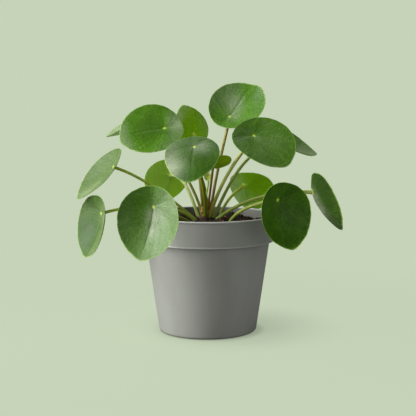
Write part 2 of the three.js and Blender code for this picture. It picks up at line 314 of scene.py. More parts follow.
class BladeTone(Enum):
    """The skins that the plant's blades have, from the deepest old leaf to the newest one.

    The colours are in the finish's order: dark and light above, dark and light below, light through, and
    veins.
    """

    DEEP = BladeFinish((44, 76, 2), (54, 94, 6), *DARK_UNDERSIDE, (92, 140, 8), (84, 124, 30))
    # SMOOTH has a greyer colour for its painted sheen.
    SMOOTH = BladeFinish((46, 78, 2), (54, 92, 4), *DARK_UNDERSIDE, (92, 140, 8), (84, 124, 30),
                         painted_light=(163, 178, 132), gloss_roughness=0.52, relief=0.00006)
    # SHADED's rim is lighter still, as painted rim light.
    SHADED = BladeFinish((50, 88, 0), (70, 116, 2), (60, 96, 16), (76, 112, 30), (92, 140, 4), (78, 122, 16),
                         dot=(220, 244, 84), margin=(168, 210, 84))
    MATURE = BladeFinish((56, 92, 6), (70, 112, 16), *PALE_UNDERSIDE, (110, 160, 10), (104, 148, 58))
    FULL = BladeFinish((64, 108, 4), (80, 128, 12), *PALE_UNDERSIDE, (114, 164, 12), (108, 152, 62))
    GREYED = BladeFinish((80, 114, 40), (96, 132, 56), (120, 150, 98), (146, 174, 122), (110, 150, 40),
                         (130, 160, 100))
    # Painted sheen: this leaf's whole skin is paled to stand for the light it reflects.
    PALE_PAINTED_SHEEN = BladeFinish((132, 156, 104), (148, 172, 120), (150, 174, 122), (168, 190, 142), (190, 208, 160),
                       (150, 174, 120), 0.4, relief=0.00004, grazing_roughness=0.0)
    # Undersides paler yellow-green, partly their own colour and partly painted light through the blade.
    YOUNG_WITH_PAINTED_BACKLIGHT = BladeFinish(*YOUNG_FACE, (92, 136, 4), (112, 154, 16), (176, 214, 6), (150, 180, 56), 0.45,
                        "young_leaf", mottle=3.0)
    # Undersides brighter still, partly their own colour and partly painted light through the blade.
    THIN = BladeFinish(*YOUNG_FACE, (138, 184, 48), (158, 202, 76), (190, 222, 84), (174, 204, 114), 0.45,
                       "young_leaf")
    NEW = BladeFinish((130, 150, 16), (170, 186, 60), (96, 128, 6), (130, 152, 16), (180, 204, 8),
                      (152, 170, 60), 0.4, "young_leaf")
    BUD = BladeFinish((176, 190, 40), (216, 226, 120), (150, 166, 20), (196, 208, 80), (206, 220, 60),
                      (220, 228, 150), 0.3, "young_leaf", relief=0.00006)


@dataclass(frozen=True)
class StalkFinish:
    """Fleshy stalk skin that turns from its foot's colour to its top's, with fine lengthways streaks."""

    foot: Rgb
    top: Rgb
    streak: Rgb
    slot: str = "green_stalk"
    joint: Rgb = (176, 194, 92)
    roughness: float = 0.36
    streak_shape: Point = (7.0, 2.6, 2.6)
    pore_shape: Point = (60.0, 7.0, 7.0)
    flesh_radius: Point = (0.0012, 0.0018, 0.0005)

    def material(self, name: str) -> Material:
        """Builds the stalk skin from the attribute run, whose X goes from 0 at the foot to 1 at the blade,
        and whose Y and Z go round the stalk.

        Args:
            name: the material's name.

        Returns:
            The material.
        """
        recipe = Recipe(bpy.data.materials.new(name))
        run = recipe.attribute("run")
        up, _, _ = recipe.parts(run)
        streaks = recipe.noise(recipe.stretched(run, self.streak_shape), 1.6, 3.0)
        pores = recipe.noise(recipe.stretched(run, self.pore_shape), 1.0)
        skin = recipe.mix(recipe.step(up + (streaks - 0.5) * 0.3, 0.04, 0.75), self.foot, self.top)
        skin = recipe.mix(recipe.step(streaks, 0.48, 0.78) * 0.6, skin, self.streak)
        skin = recipe.mix(recipe.step(pores, 0.62, 0.74) * 0.3, skin, self.streak)
        skin = recipe.mix(recipe.step(up, 0.94, 0.985) * 0.7, skin, self.joint)
        return recipe.close(recipe.surface("BsdfPrincipled", {
            "Base Color": skin, "Roughness": self.roughness + (pores - 0.5) * 0.2,
            "Normal": recipe.relief(streaks * 0.8 + pores * 0.3, 0.00022),
            "Subsurface Weight": 0.12, "Subsurface Radius": self.flesh_radius, "Subsurface Scale": 1.0}))


class StalkTone(Enum):
    """The skins of the stalks, which the photograph shows from light green to woody brown."""

    LIGHT = StalkFinish((150, 166, 84), (214, 226, 148), (206, 216, 146))
    GREEN = StalkFinish((112, 128, 46), (142, 158, 64), (170, 184, 100))
    DARK = StalkFinish((76, 90, 8), (110, 128, 14), (124, 138, 40))
    BRIGHT = StalkFinish((102, 118, 26), (158, 180, 36), (168, 184, 76))
    OLIVE = StalkFinish((110, 116, 22), (172, 176, 82), (182, 184, 112), "brown_stalk")
    BROWN = StalkFinish((118, 96, 28), (152, 138, 56), (168, 148, 76), "brown_stalk")
    SHADED = StalkFinish((82, 62, 6), (102, 88, 12), (112, 94, 26), "brown_stalk")


@dataclass(frozen=True)
class PotPlastic:
    """Injection-moulded grey plastic: a satin skin with a fine grain, paler along its edges, partly rubbed
    wear and partly a painted highlight.
    """

    grey: Rgb = (127, 129, 122)
    # Paler grey of rubbed wear and of the painted highlight along the edges.
    rubbed_and_highlight: Rgb = (172, 174, 169)
    dusty: Rgb = (112, 112, 102)
    # Darker grey of the inner wall: soil dust and painted shade.
    dust_and_shade_colour: Rgb = (76, 75, 68)
    roughness: float = 0.46
    grain_scale: float = 2600.0
    cloud_scale: float = 46.0
    scuff_scale: float = 160.0

    def material(self) -> Material:
        """Builds the pot's plastic from Object coordinates and two attributes: one that is 1 along the
        moulded edges, which are paler with rubbed wear and a painted highlight, and one that is 1 on the
        inside of the wall, which is darker with soil dust and painted shade.

        Returns:
            The material.
        """
        recipe = Recipe(bpy.data.materials.new("nursery_pot_plastic"))
        place = recipe.place()
        edge, stain = (recipe.shade("Fac", "Attribute", attribute_name=name) for name in ("edge", "stain"))
        grain = recipe.noise(place, self.grain_scale)
        clouds = recipe.noise(recipe.stretched(place, (1.0, 1.0, 0.35)), self.cloud_scale, 3.0)
        scuffs = recipe.noise(recipe.stretched(place, (1.0, 1.0, 9.0)), self.scuff_scale, 4.0)
        skin = recipe.mix(recipe.step(clouds, 0.35, 0.7) * 0.35, self.grey, self.dusty)
        skin = recipe.mix(recipe.step(scuffs, 0.66, 0.8) * 0.22, skin, self.rubbed_and_highlight)
        # The inside of the wall is darker: soil dust and painted shade where the leaves and rim shade it.
        skin = recipe.mix(stain * (0.55 + scuffs * 0.5), skin, self.dust_and_shade_colour)
        # Rubbed wear and a painted highlight along the moulded edges, such as the lip and the collar's bead.
        skin = recipe.mix(edge * (recipe.step(clouds, 0.25, 0.6) * 0.25 + 0.6), skin, self.rubbed_and_highlight)
        roughness = self.roughness + (clouds - 0.5) * 0.12 + (scuffs - 0.5) * 0.1
        return recipe.close(recipe.surface("BsdfPrincipled", {
            "Base Color": skin, "Roughness": roughness, "Normal": recipe.relief(grain, 0.000012),
            "Specular IOR Level": 0.4}))


@dataclass(frozen=True)
class MixFinish:
    """Matt plant matter, blotched between two colours at its own scale in metres, with a rough relief."""

    name: str
    dark: Rgb
    light: Rgb
    blotch: float
    relief: float
    roughness: float = 0.9

    def material(self) -> Material:
        """Builds the matter from Object coordinates.

        Returns:
            The material.
        """
        recipe = Recipe(bpy.data.materials.new(self.name))
        place = recipe.place()
        blotches = recipe.noise(place, 1 / self.blotch, 4.0)
        crumbs = recipe.noise(place, 4 / self.blotch, 4.0)
        skin = recipe.mix(recipe.step(blotches * 0.7 + crumbs * 0.3, 0.38, 0.68), self.dark, self.light)
        return recipe.close(recipe.surface("BsdfPrincipled", {
            "Base Color": skin, "Roughness": self.roughness + (crumbs - 0.5) * 0.25,
            "Normal": recipe.relief(crumbs + blotches * 0.5, self.relief), "Specular IOR Level": 0.3}))


SOIL_BED = MixFinish("potting_mix", (14, 10, 7), (56, 42, 30), 0.0024, 0.0006)
SOIL_CRUMB = MixFinish("soil_crumb", (15, 11, 8), (92, 70, 50), 0.0034, 0.0004)
BARK_CHIP = MixFinish("bark_chip", (132, 84, 54), (206, 154, 110), 0.0018, 0.0003, 0.8)
COIR_FIBRE = MixFinish("coir_fibre", (88, 58, 34), (150, 110, 72), 0.0022, 0.0001, 0.8)
STEM_BARK = MixFinish("woody_crown", (34, 24, 16), (104, 76, 56), 0.0030, 0.0005, 0.8)
DRY_SCALE = MixFinish("papery_scale", (92, 62, 24), (176, 140, 72), 0.0030, 0.0002, 0.62)


def put(name: str, data: bpy.types.Mesh | bpy.types.Camera | bpy.types.Light) -> Object:
    """Makes an object and puts it in the scene.

    Args:
        name: the object's name.
        data: the mesh, camera or light that it is an object of.

    Returns:
        The object.
    """
    made = bpy.data.objects.new(name, data)
    bpy.context.scene.collection.objects.link(made)
    return made


@dataclass
class Skin:
    """A closed surface in millimetres: its points, its faces, and what its materials read at each point."""

    points: Array
    faces: list[list[int]]
    numbers: dict[str, Array] = field(default_factory=dict)

    def thing(self, name: str) -> Object:
        """Makes the surface an object at the origin, with its place in its mesh.

        Args:
            name: the name of the object and of its mesh.

        Returns:
            The object.
        """
        mesh = bpy.data.meshes.new(name)
        mesh.from_pydata((self.points * MM).tolist(), [], self.faces)
        return put(name, mesh)

    def piece(self, name: str, material: Material, slot: str, node: str | None = None) -> Object:
        """Makes the surface a smooth piece of the dressed part, riding on the part's body.

        Args:
            name: the piece's name.
            material: its finish.
            slot: not used.
            node: the frame's node that it replaces, if any.

        Returns:
            The piece.
        """
        made = self.thing(name)
        mesh = made.data
        for label, values in self.numbers.items():
            kind, key = ("FLOAT", "value") if values.ndim == 1 else ("FLOAT_VECTOR", "vector")
            mesh.attributes.new(label, kind, "POINT").data.foreach_set(key, values.astype(np.float32).ravel())
        mesh.shade_smooth()
        mesh.materials.append(material)
        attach(made, BODY)
        if node:
            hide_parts(node)
        LOG.info("%s: %d points, %d faces", name, len(self.points), len(self.faces))
        return made


def circle(sides: int) -> Array:
    """Angles evenly spaced round a full turn, from 0."""
    return np.arange(sides) / sides * FULL_TURN


def compass(angles: Array) -> Array:
    """Unit directions at the angles: (cos angle, sin angle)."""
    return np.stack([np.cos(angles), np.sin(angles)], axis=-1)


def lathe(radii: Array, heights: Array, sides: int) -> Array:
    """Level rings round the Z axis, one for each radius and height, shaped (rings, sides, 3)."""
    flat = radii[:, None, None] * compass(circle(sides))
    return np.concatenate([flat, np.broadcast_to(heights[:, None, None], (*flat.shape[:2], 1))], axis=-1)


def closed_stacks(rings: Array, starts: Array, ends: Array) -> Skin:
    """Closes stacks of rings: four-sided faces between neighbouring rings, and a fan to a pole at each end.

    Args:
        rings: the points, shaped (stacks, rings, around, 3), counter-clockwise seen from each stack's end.
        starts: each stack's pole before its first ring.
        ends: each stack's pole after its last ring.

    Returns:
        One surface. Its points are stack by stack, each in ring order followed by its start pole and its
        end pole.
    """
    stacks, count, around, _ = rings.shape
    points = np.concatenate([rings.reshape(stacks, -1, 3), starts[:, None], ends[:, None]], axis=1)
    here = np.arange(around)
    after = (here + 1) % around
    low = (np.arange(count - 1) * around)[:, None]
    walls = np.stack([low + here, low + after, low + around + after, low + around + here], axis=-1)
    first_pole = np.full(around, count * around)
    top = (count - 1) * around
    fans = np.concatenate([np.stack([first_pole, after, here], axis=-1),
                           np.stack([first_pole + 1, top + here, top + after], axis=-1)])
    offsets = (np.arange(stacks) * points.shape[1])[:, None, None]
    walls, fans = walls.reshape(-1, 4) + offsets, fans + offsets
    return Skin(points.reshape(-1, 3), walls.reshape(-1, 4).tolist() + fans.reshape(-1, 3).tolist())


def closed_stack(rings: Array, start: Array | Point, end: Array | Point) -> Skin:
    """Closes one stack of rings, shaped (rings, around, 3), with a pole at each end."""
    return closed_stacks(rings[None], np.array([start], float), np.array([end], float))


def per_point(values: Array, around: int, start: float, end: float) -> Array:
    """Spreads one value for each ring over that ring's points, and adds the values at the two poles."""
    return np.concatenate([np.repeat(values, around), [start, end]])


def rising(value: Array, low: float, high: float) -> Array:
    """Rises smoothly from 0 below low to 1 above high: 3t^2 - 2t^3, with t the share of the way."""
    t = np.clip((value - low) / (high - low), 0, 1)
    return t * t * (3 - 2 * t)


def lattice_noise(x: Array, y: Array, cell: float, seed: int) -> Array:
    """Smooth noise from -1 to 1: random values on a square lattice, joined by the smooth step 3t^2 - 2t^3.

    Args:
        x: where to read it, across.
        y: where to read it, in depth.
        cell: the lattice's pitch.
        seed: picks the random values.

    Returns:
        The noise at each place.
    """
    size = 256
    values = np.random.default_rng(seed).uniform(-1, 1, (size, size))
    column, row = x / cell + size / 2, y / cell + size / 2
    left, low = np.floor(column).astype(int), np.floor(row).astype(int)
    across, up = rising(column - left, 0, 1), rising(row - low, 0, 1)
    left, right, low, high = (line % size for line in (left, left + 1, low, low + 1))
    near = values[low, left] * (1 - across) + values[low, right] * across
    far = values[high, left] * (1 - across) + values[high, right] * across
    return near * (1 - up) + far * up


def tube(knots: Array, share: Array, radii: Array, side: Array) -> tuple[Array, Array]:
    """Rings round a cubic curve, each square to it.

    With t the share, the curve is (1-t)^3 a + 3t(1-t)^2 b + 3t^2(1-t) c + t^3 d. A ring is its point on it
    + radius * (cos angle * side' + sin angle * along x side'), where along is the curve's slope made one
    long.

    Args:
        knots: the control points a, b, c and d.
        share: where the rings are, from 0 at a to 1 at d.
        radii: the radius at each ring and angle.
        side: a direction that stays off the curve, from which side' is made square to it.

    Returns:
        The rings, shaped (rings, around, 3), and the poles that close them.
    """
    t = share[:, None]
    a, b, c, d = knots
    path = (1 - t) ** 3 * a + 3 * t * (1 - t) ** 2 * b + 3 * t ** 2 * (1 - t) * c + t ** 3 * d
    slopes = (1 - t) ** 2 * (b - a) + 2 * t * (1 - t) * (c - b) + t ** 2 * (d - c)
    along = slopes / np.linalg.norm(slopes, axis=1, keepdims=True)
    flat = side - (along @ side)[:, None] * along
    flat = flat / np.linalg.norm(flat, axis=1, keepdims=True)
    turn = compass(circle(radii.shape[1]))[None, :, :, None]
    ring = turn[:, :, 0] * flat[:, None] + turn[:, :, 1] * np.cross(along, flat)[:, None]
    return path[:, None] + radii[..., None] * ring, np.stack([path[0], path[-1] + along[-1] * 0.2])


@dataclass(frozen=True)
class LeafShape:
    """One leaf's place and form, in millimetres and degrees, as its solids in the frame have them.

    faces is the heading of the blade's upper face from the front, tilt how far it looks up, and roll how
    far the tip is turned from straight downhill. cup, fold and droop bend the blade, and shift moves its
    middle sideways. girth is the stalk's thickness, and root and bends lead it up to the umbo, where it
    meets the blade. crease is how deep the midrib is sunk, from 0 to 1, which also sets how much painted
    shade darkens it, and veer how far it goes sideways for each millimetre along. The last field lists
    soft round patches of painted sheen, a pale highlight mixed into the skin's colour: place across, place
    along, spread, and a strength below 0 where the patch is painted shade instead.
    """

    name: str
    umbo: Point
    faces: float
    tilt: float
    roll: float
    length: float
    width: float
    cup: float
    fold: float
    droop: float
    shift: float
    girth: float
    root: Point
    bends: tuple[Point, Point]
    blade: BladeTone
    stalk: StalkTone
    crease: float = 0.3
    veer: float = 0.0
    painted_light: tuple[tuple[float, float, float, float], ...] = ()

    def axes(self) -> tuple[Array, Array, Array]:
        """Works out the blade's own directions from its heading, tilt and roll.

        Returns:
            Unit directions to its tip, across it, and out of its upper face.
        """
        faces, tilt, roll = (math.radians(angle) for angle in (self.faces, self.tilt, self.roll))
        ahead, up = np.array([math.sin(faces), -math.cos(faces), 0]), np.array([0, 0, 1])
        out = ahead * math.cos(tilt) + up * math.sin(tilt)
        downhill = ahead * math.sin(tilt) - up * math.cos(tilt)
        tip = math.cos(roll) * downhill + math.sin(roll) * np.cross(out, downhill)
        return tip, np.cross(out, tip), out

    def lean(self) -> float:
        """Sine of the angle between the end of the stalk and the blade's out direction."""
        end = np.array(self.umbo) - np.array(self.bends[1])
        return float(np.linalg.norm(np.cross(end / np.linalg.norm(end), self.axes()[2])))


# Each leaf's last list holds patches of painted sheen, a pale highlight, and below 0 of painted shade.
LEAVES = [
    LeafShape("far_left_back", (-63, 36, 184), -77, 59, 16, 48, 45, 4, 3, 0, 0, 2.5,
              (-1, 4.2, 103), ((2, 9, 150), (-28, 30, 172)), BladeTone.PALE_PAINTED_SHEEN, StalkTone.BROWN, crease=0.1,
              painted_light=((8, 28, 20, 0.7),)),
    LeafShape("upper_left", (-38, -14, 183), 10, 42, -66, 57, 52, 1, 0, 3, -4, 2.6,
              (-4.8, -0.5, 103), ((-12, -2, 136), (-36, -8, 160)), BladeTone.FULL, StalkTone.OLIVE,
              crease=0.45, veer=-0.26,
              painted_light=((26, 0, 13, 0.14), (0, 43, 10, 0.48), (-17, 39, 10, 0.48), (1, -13, 11, 0.54),
                     (13, 5, 18, 0.1), (-7, 12, 15, -0.6), (-15, 15, 18, 0.18))),
    LeafShape("top_back", (-13, 18, 175), 220, -2, 168, 39, 36, 2.5, -2, -2, 1, 2.5,
              (-4.2, 3.2, 104), ((-6, 4, 130), (-10, 9, 155)), BladeTone.YOUNG_WITH_PAINTED_BACKLIGHT, StalkTone.BROWN,
              painted_light=((-8, 21, 5, 0.84), (21, 0, 16, 0.8), (1, 30, 7, 0.56), (5, -2, 18, -0.34))),
    LeafShape("front_centre", (-11.5, -42, 168), -9, 58, 0, 50, 47, 1.5, -3, 7, -1, 3.4,
              (-2.2, -3.9, 103), ((-1, -9, 127), (-8, -28, 148)), BladeTone.DEEP, StalkTone.DARK,
              crease=0.35,
              painted_light=((-16, 23, 9, 0.7), (5, 0, 8, 0.5), (-28, 16, 15, 0.39), (-21, 2, 18, 0.13),
                     (-3, -1, 10, -0.2))),
    LeafShape("top_right", (19.5, 12, 192.5), 0, 43, 132, 53, 49, 6.5, 3, 1, 0, 2.7,
              (2.4, 1.8, 104), ((6.5, 8, 140), (16, 12, 171)), BladeTone.FULL, StalkTone.BROWN,
              crease=0.6, veer=0.27,
              painted_light=((28, -8, 13, 0.26), (-3, 3, 6, 0.3), (20, 18, 13, 0.2), (6, 12, 9, 0.5),
                     (-5, 32, 11, -0.3), (-24, 22, 10, -0.35))),
    LeafShape("upper_right", (40.2, -22, 176.7), 8, 49, 32, 59, 54, 1.5, 1, 3, 3, 3.2,
              (1.4, -2.3, 102), ((8.5, -8, 127), (18.5, -15, 148)), BladeTone.MATURE, StalkTone.OLIVE,
              crease=0.4,
              painted_light=((0, 14, 14, 0.63), (-16, 44, 11, 0.21), (0, 2, 5, 0.33), (-5, -7, 18, -0.56),
                     (0, 17, 12, -0.45), (15, -7, 8, 0.19))),
    LeafShape("right_back", (68.3, 34, 169), 65, 52, 28, 48, 44, 4, 2, 0, 0, 3,
              (3.2, 3.4, 97), ((19, 10, 131), (33, 22, 164)), BladeTone.GREYED, StalkTone.GREEN,
              painted_light=((-4, 28, 5, 0.23), (-4, 19, 5, 0.4))),
    LeafShape("far_right", (95.2, 0, 125), 100, 9, -21, 53.5, 48, 6.8, 4, -2, 0.4, 3.2,
              (2.8, -2.6, 96), ((27, -2, 119), (62, -2, 127)), BladeTone.SHADED, StalkTone.GREEN,
              painted_light=((4, 30, 12, 0.22), (0, 18, 6, 0.82), (-1, 5, 10, 0.78), (-18, 1, 14, -0.47))),
    LeafShape("front_right", (59.4, -52, 123.4), 27, -11, 8, 52.5, 47.5, 8.2, 4, -3, 0.6, 3.2,
              (18, -4, 93), ((21, -16, 112), (48, -35, 120)), BladeTone.SHADED, StalkTone.GREEN,
              crease=0.2,
              painted_light=((-24, 0, 16, 0.05),)),
    LeafShape("back_right", (35, 38, 128), 156, 34, 8, 47, 43, 3.5, 3, 2, -4, 2.8,
              (8, 7, 93), ((14, 11, 116), (26, 25, 124)), BladeTone.YOUNG_WITH_PAINTED_BACKLIGHT, StalkTone.BRIGHT,
              painted_light=((15, 2, 10, 0.49), (12, 20, 15, 0.22), (-26, 9, 6, 0.14), (15, 26, 18, 0.61),
                     (-9, -5, 13, -0.64), (-1, -3, 15, 0.53))),
    LeafShape("back_left", (-35, 30, 139), 197, 22, 5, 46, 43, 4, 2, 0, 0, 3.1,
              (-6.2, 4.8, 97), ((-15, 12, 116), (-18, 16, 138)), BladeTone.THIN, StalkTone.LIGHT,
              painted_light=((-16, 9, 21, 0.32), (24, -6, 10, 0.45), (9, 11, 14, 0.2))),
    LeafShape("front_left", (-45.5, -62, 118.5), -19, -1, -7, 59, 55, 7.5, 5, -2, 1, 3.3,
              (-9, -10, 93), ((-19, -24, 105), (-37, -49, 112)), BladeTone.MATURE, StalkTone.DARK,
              crease=1.0,
              painted_light=((3, 20, 5, 0.5), (2, 7, 8, 0.7), (31, 25, 14, 0.24), (23, -8, 17, 0.46),
                     (9, 39, 18, 0.22), (-6, 6, 15, -0.42), (-9, 7, 18, 0.32))),
    LeafShape("low_left", (-94, -22, 108.4), -57, -3, -10, 53, 49, 6.8, 3, -1, 0.8, 2.6,
              (-6.8, -4.6, 96), ((-33, -10, 122), (-66, -16, 115)), BladeTone.SMOOTH, StalkTone.BRIGHT,
              painted_light=((0, 12, 60, 0.1), (15, 23, 11, 0.1), (9, 3, 13, 0.37), (-24, 3, 11, 0.15),
                     (8, 33, 9, 0.37), (0, 22, 18, -0.31), (6, 20, 8, 0.28))),
    LeafShape("high_left", (-85, 0, 148), -68, 31, 3, 57, 49, 4.5, 2, -2, -4, 2.6,
              (-7.5, 0, 97), ((-34, 0, 120), (-58, 0, 139)), BladeTone.SMOOTH, StalkTone.BRIGHT,
              crease=0.1,
              painted_light=((0, 12, 60, 0.2), (-5, 32, 11, 0.24), (-6, -6, 13, 0.08), (-7, 33, 6, 0.17),
                     (-6, 19, 5, 0.13))),
    LeafShape("inner", (5, -18, 152), 173, 57, -7, 31, 29, 5, 2, 1, 0, 2.2,
              (-0.6, 0.9, 106), ((2, -4, 123), (3.5, -13, 139)), BladeTone.NEW, StalkTone.SHADED),
    LeafShape("bud", (0.3, -1, 138), -20, -10, 175, 10, 6.5, 1, 1, 0, 0, 1.7,
              (-2.6, -0.6, 106), ((-2.6, -0.8, 119), (0.8, 1.5, 130)), BladeTone.BUD, StalkTone.BRIGHT,
              painted_light=((-1, 1, 4, 0.5),)),
]


@dataclass
class Leaf:
    """One umbrella leaf: a round blade, and the stalk that holds it under its umbo.

    wave and swells are shares of the blade's length, rim_share a share of the way to its margin, and number
    tells leaves apart wherever their forms or skins would repeat. collar is how much thicker the blade is
    over the stalk, and collar_spread how far that reaches in stalk girths. foot_swell and top_swell say how
    much the stalk swells at that end and how soon that fades, as shares of its girth and of its length.
    """

    shape: LeafShape
    number: int
    around: int = 288
    spokes: int = 26
    spoke_power: float = 1.15
    crowding: float = 0.45
    rim_bend: tuple[float, float, int] = (-60, 60, 5)
    rays: int = 9
    umbo_share: float = 0.31
    thickness: float = 1.0
    rim_thickness: float = 0.5
    rim_share: float = 0.012
    collar: float = 0.8
    collar_spread: float = 0.8
    wave: float = 0.01
    swells: float = 0.0035
    ragged: tuple[tuple[int, int], ...] = ((11, 3), (17, 1), (29, 2))
    dimple: float = 0.45
    dimple_width: float = 2.2
    groove: float = 0.7
    groove_width: float = 1.7
    midrib_width: float = 0.7
    vein_width: float = 0.45
    vein_groove: float = 0.05
    vein_ridge: float = 0.10
    midrib_ridge: float = 0.22
    skin_apart: float = 40.0
    stalk_around: int = 24
    stalk_steps: int = 60
    stalk_apart: float = 10.0
    stalk_side: Point = (0.35, -0.9, 0.2)
    foot_swell: Span = (0.22, 0.07)
    top_swell: Span = (0.18, 0.035)
    waist: float = 0.06
    end_rounding: float = 0.015
    seat: float = 1.3
    stalk_ribs: int = 5
    rib: float = 0.035

    def rise(self, share: Array, angle: Array, along: Array, across: Array) -> Array:
        """Height of the upper face over the plane through the umbo.

        With u and v the places along and across in half lengths and half widths, it is cup (u^2 + v^2) +
        fold |v|^1.5 - droop max(u, 0)^2, a slow wave round the margin, soft swells halfway out, a dimple
        over the stalk, a groove crease deep along the midrib, and fine grooves along the side veins.

        Args:
            share: from 0 at the umbo to 1 at the margin.
            angle: round the blade, from its tip.
            along: place along the blade.
            across: place across it.

        Returns:
            The height at each place.
        """
        shape = self.shape
        u, v = along / (shape.length / 2), across / (shape.width / 2)
        bend = shape.cup * (u * u + v * v) + shape.fold * np.abs(v) ** 1.5
        bend = bend - shape.droop * np.maximum(u, 0) ** 2
        wave = self.wave * shape.length * share ** 2 * np.sin(3 * angle + self.number * 2.4)
        bearing = np.arctan2(across, along)
        bulge = np.sin(math.pi * share) ** 2 * np.sin(5 * bearing + 1.7 * self.number)
        dimple = self.dimple * np.exp(-(along ** 2 + across ** 2) / self.dimple_width ** 2)
        side_veins, _, groove = self.veins(share, along, across)
        sunk = dimple + self.groove * shape.crease * groove + self.vein_groove * side_veins
        return bend + wave + self.swells * shape.length * bulge - sunk

    def veins(self, share: Array, along: Array, across: Array) -> tuple[Array, ...]:
        """Where the veins run.

        A side vein follows each place where bearing * rays / turn + two slow sine waves is a whole number,
        and the midrib the line across = veer * along. Each is a bell exp(-(distance / width)^2) that fades
        at its ends.

        Args:
            share: from 0 at the umbo to 1 at the margin.
            along: place along the blade.
            across: place across it.

        Returns:
            The strength of the side veins, of the midrib, and of the wider groove that the midrib lies in.
        """
        reach = np.hypot(along, across)
        bearing = np.arctan2(across, along)
        wander = 0.10 * np.sin(0.23 * reach + 2 * self.number)
        wander = wander + 0.06 * np.sin(0.4 * reach + 3 * bearing + self.number)
        turn = bearing * self.rays / FULL_TURN + wander
        beside = np.abs(turn - np.round(turn)) * reach * FULL_TURN / self.rays
        side_veins = np.exp(-(beside / self.vein_width) ** 2) * rising(reach, 1, 4)
        off = np.abs(across - self.shape.veer * along)
        ends = rising(along, 0.5, 3) * (1 - rising(share, 0.55, 0.95))
        midrib = np.exp(-(off / self.midrib_width) ** 2) * ends
        groove = np.exp(-(off / self.groove_width) ** 2) * ends * (1 - rising(share, 0.3, 0.9))
        return side_veins * (1 - 0.75 * rising(share, 0.35, 0.98)), midrib, groove

    def place(self, share: Array, angle: Array, depth: Array) -> tuple[Array, Array]:
        """Places points of the blade.

        Along the blade a point is share * length * (0.19 + 0.5 cos angle + a small point at the tip), and
        across it is share * (half width * sin angle * (1 - 0.08 cos angle) + shift), so the outline is
        round, a little wider towards the notch end, and the umbo sits a third of the way in. Three small
        sine waves make the margin slightly ragged.

        Args:
            share: from 0 at the umbo to 1 at the margin.
            angle: round the blade, from its tip.
            depth: how far below the upper face.

        Returns:
            The points, and their places across and along the blade.
        """
        shape = self.shape
        from_tip = np.minimum(angle, FULL_TURN - angle) / 0.3
        middle = 0.5 - self.umbo_share
        waves = (np.sin(lobes * angle + shift * self.number) for lobes, shift in self.ragged)
        ragged = 0.001 * sum(waves) * share ** 6
        reach = middle + (0.5 + ragged) * np.cos(angle) + 0.03 * np.exp(-from_tip ** 2)
        along = share * shape.length * reach
        breadth = np.sin(angle) * (1 - 0.08 * np.cos(angle) + 2 * ragged)
        across = share * (shape.width / 2 * breadth + shape.shift)
        tip, side, out = shape.axes()
        height = self.rise(share, angle, along, across) - depth
        points = along[..., None] * tip + across[..., None] * side + height[..., None] * out
        return points + np.array(shape.umbo), np.stack([across, along], axis=-1)

    def depth_under(self, share: Array, reach: Array) -> Array:
        """Thickness of the blade: thinner to the rim, and swollen round the stalk by a bell of its girth.

        Args:
            share: from 0 at the umbo to 1 at the margin.
            reach: distance from the umbo.

        Returns:
            The thickness at each place.
        """
        thin = self.thickness + (self.rim_thickness - self.thickness) * share
        girth = self.shape.girth
        bell = np.exp(-(reach / (self.collar_spread * girth)) ** 2)
        return thin + (self.collar + girth / 2 * self.shape.lean()) * bell

    def painted_light(self, level: Array) -> Array:
        """How strong the painted sheen is, a pale highlight, or below 0 the painted shade: the sum of
        strength * exp(-(distance / spread)^2) over its patches.

        Args:
            level: places across and along the blade, one to a row.

        Returns:
            The painted sheen, or below 0 the painted shade, at each place.
        """
        total = np.zeros(len(level))
        for across, along, spread, strength in self.shape.painted_light:
            away = np.hypot(level[:, 0] - across, level[:, 1] - along)
            total = total + strength * np.exp(-(away / spread) ** 2)
        return total

    def build_blade(self) -> None:
        """Builds the blade: its underside out from the stalk, the rounded rim, and the upper face back to
        the umbo.

        The rings' points are closer together towards the tip, where the midrib is, and the veins that sink
        the upper face stand out a little on the underside.
        """
        shape = self.shape
        even = circle(self.around)
        rim_start = 1 - self.rim_share
        spread = (np.arange(1, self.spokes + 1) / self.spokes) ** self.spoke_power * rim_start
        bend = np.radians(np.linspace(*self.rim_bend))
        shares = np.concatenate([spread, rim_start + self.rim_share * np.cos(bend), spread[::-1]])
        below = np.concatenate([np.ones(self.spokes), 0.5 - 0.5 * np.sin(bend), np.zeros(self.spokes)])
        share, angle = np.meshgrid(shares, even - self.crowding * np.sin(even), indexing="ij")
        _, plan = self.place(share, angle, np.zeros_like(share))
        side_veins, midrib, _ = self.veins(share, plan[..., 1], plan[..., 0])
        ridges = self.vein_ridge * side_veins + self.midrib_ridge * midrib
        depth = below[:, None] * (self.depth_under(share, np.linalg.norm(plan, axis=-1)) + ridges)
        rings, plan = self.place(share, angle, depth)
        zero = np.zeros(1)
        poles = [self.place(zero, zero, depth)[0][0] for depth in (self.depth_under(zero, zero), zero)]
        skin = closed_stack(rings, *poles)
        level = np.concatenate([plan.reshape(-1, 2), np.zeros((2, 2))])
        skin.numbers["plan"] = np.column_stack([level, np.full(len(level), self.skin_apart * self.number)])
        # The skin attribute's Z carries the painted sheen and painted shade patches.
        skin.numbers["skin"] = np.column_stack([
            per_point(shares, self.around, 0, 0), per_point(below, self.around, 1, 0), self.painted_light(level)])
        lines = np.column_stack([side_veins.ravel(), midrib.ravel(), np.zeros(midrib.size)])
        skin.numbers["veins"] = np.concatenate([lines, np.zeros((2, 3))])
        finish = shape.blade.value
        material = finish.material(f"leaf_skin_{shape.name}", shape.crease)
        skin.piece(f"blade_{shape.name}", material, finish.slot, f"leaf_{shape.name}")

